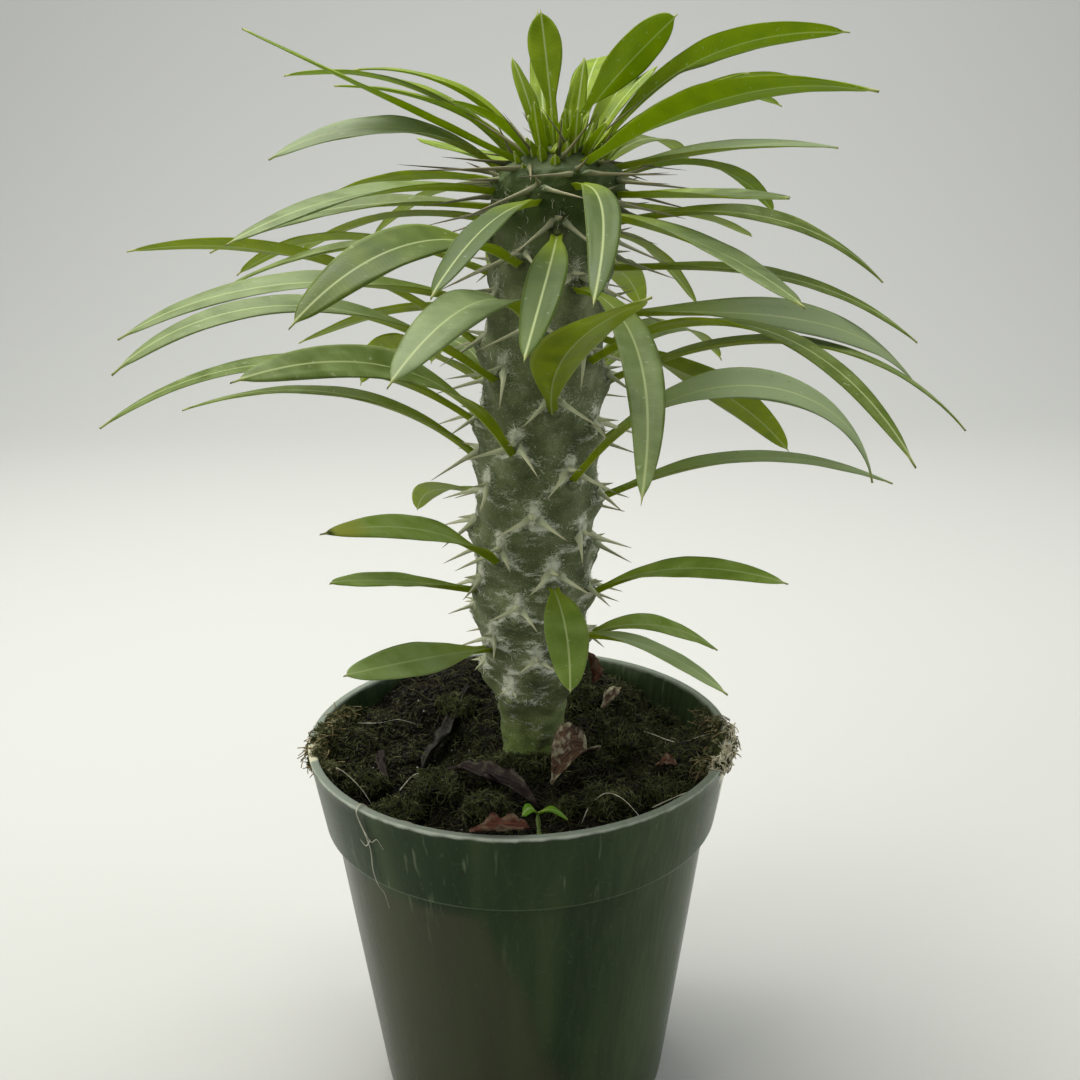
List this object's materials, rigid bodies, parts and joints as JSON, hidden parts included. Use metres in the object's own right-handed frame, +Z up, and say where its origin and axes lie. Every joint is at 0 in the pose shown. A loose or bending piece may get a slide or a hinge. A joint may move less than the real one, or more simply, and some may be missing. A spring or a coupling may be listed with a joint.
{
  "type": "potted madagascar palm",
  "caption": "Young Madagascar palm: a spiny swollen stem with a crown of arching strap leaves, rooted in mossy soil in a tapered nursery pot.",
  "frame": {"origin": "middle of the flat underside of the pot, on the surface that the pot stands on", "axes": "+Z up along the pot's axis; -Y is the side that the lowest front leaf hangs on, +X to its right"},
  "size_m": [0.2142, 0.2068, 0.2928],
  "materials": {
    "pot_plastic": "dark green injection-moulded plastic, slightly dusty and scratched",
    "soil": "rough dark peat with olive moss and pale perlite grains",
    "bark": "matte grey-green bark with silver felt round the bumps",
    "leaf": "smooth waxy grey-green leaf with a pale midrib",
    "young_leaf": "smooth bright green leaf",
    "dead_leaf": "dry wrinkled brown leaf"
  },
  "bodies": {
    "root": {"pot": "pot_plastic", "soil": "soil", "stem": "bark", "leaf_07": "leaf", "leaf_08": "leaf", "leaf_10": "leaf", "leaf_15": "leaf", "leaf_16": "leaf", "leaf_18": "leaf", "leaf_21": "leaf", "leaf_27": "leaf", "leaf_28": "leaf", "leaf_31": "leaf", "leaf_32": "leaf", "leaf_34": "leaf", "leaf_37": "leaf", "leaf_39": "leaf", "leaf_40": "leaf", "leaf_41": "leaf", "leaf_42": "leaf", "leaf_44": "leaf", "leaf_45": "leaf", "leaf_46": "leaf", "leaf_47": "leaf", "leaf_49": "leaf", "leaf_50": "leaf", "leaf_52": "leaf", "leaf_54": "leaf", "leaf_55": "leaf", "leaf_58": "leaf", "leaf_59": "leaf", "leaf_60": "leaf", "leaf_61": "leaf", "leaf_62": "leaf", "leaf_65": "leaf", "leaf_66": "leaf", "leaf_67": "leaf", "leaf_68": "leaf", "leaf_70": "leaf", "leaf_71": "leaf", "leaf_73": "leaf", "leaf_74": "leaf", "leaf_33": "leaf", "leaf_35": "leaf", "leaf_38": "leaf", "leaf_43": "leaf", "leaf_48": "leaf", "leaf_51": "leaf", "leaf_53": "leaf", "leaf_56": "leaf", "leaf_64": "leaf", "leaf_69": "leaf", "leaf_72": "leaf", "crown": "young_leaf", "dead_leaf_purple": "dead_leaf", "dead_leaf_tan": "dead_leaf", "dead_leaf_red": "dead_leaf", "dead_leaf_grey": "dead_leaf", "seedling": "young_leaf"}
  },
  "joints": []
}
